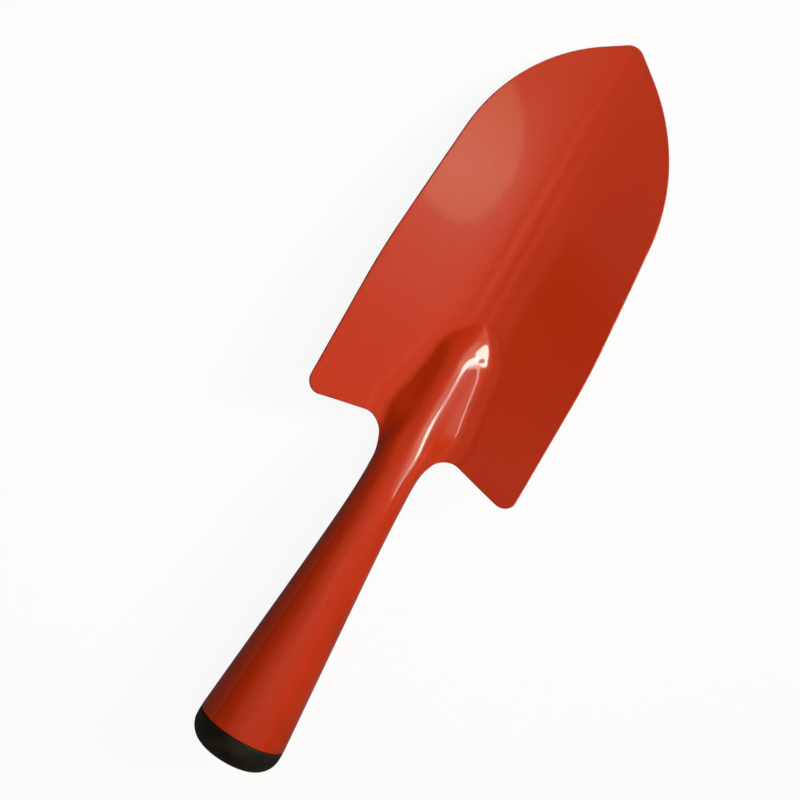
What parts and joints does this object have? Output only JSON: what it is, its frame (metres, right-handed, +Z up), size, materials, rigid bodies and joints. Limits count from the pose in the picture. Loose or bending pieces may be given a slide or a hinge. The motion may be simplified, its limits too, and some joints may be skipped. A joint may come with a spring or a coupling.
{
  "type": "garden trowel",
  "caption": "Hand trowel pressed and rolled from one steel sheet: pointed dished blade, raised tongue and tapered tube handle with a plastic end plug.",
  "frame": {"origin": "on the floor that the trowel lies on, under the middle of its bounding box", "axes": "+X to the blade's tip, +Y to the left edge seen from above, +Z up, out of the blade's hollow side"},
  "size_m": [0.3054, 0.0896, 0.0345],
  "materials": {
    "red_enamel": "gloss",
    "black_plastic": "satin"
  },
  "bodies": {
    "root": {"pressed_body": "red_enamel", "end_plug": "black_plastic"}
  },
  "joints": []
}
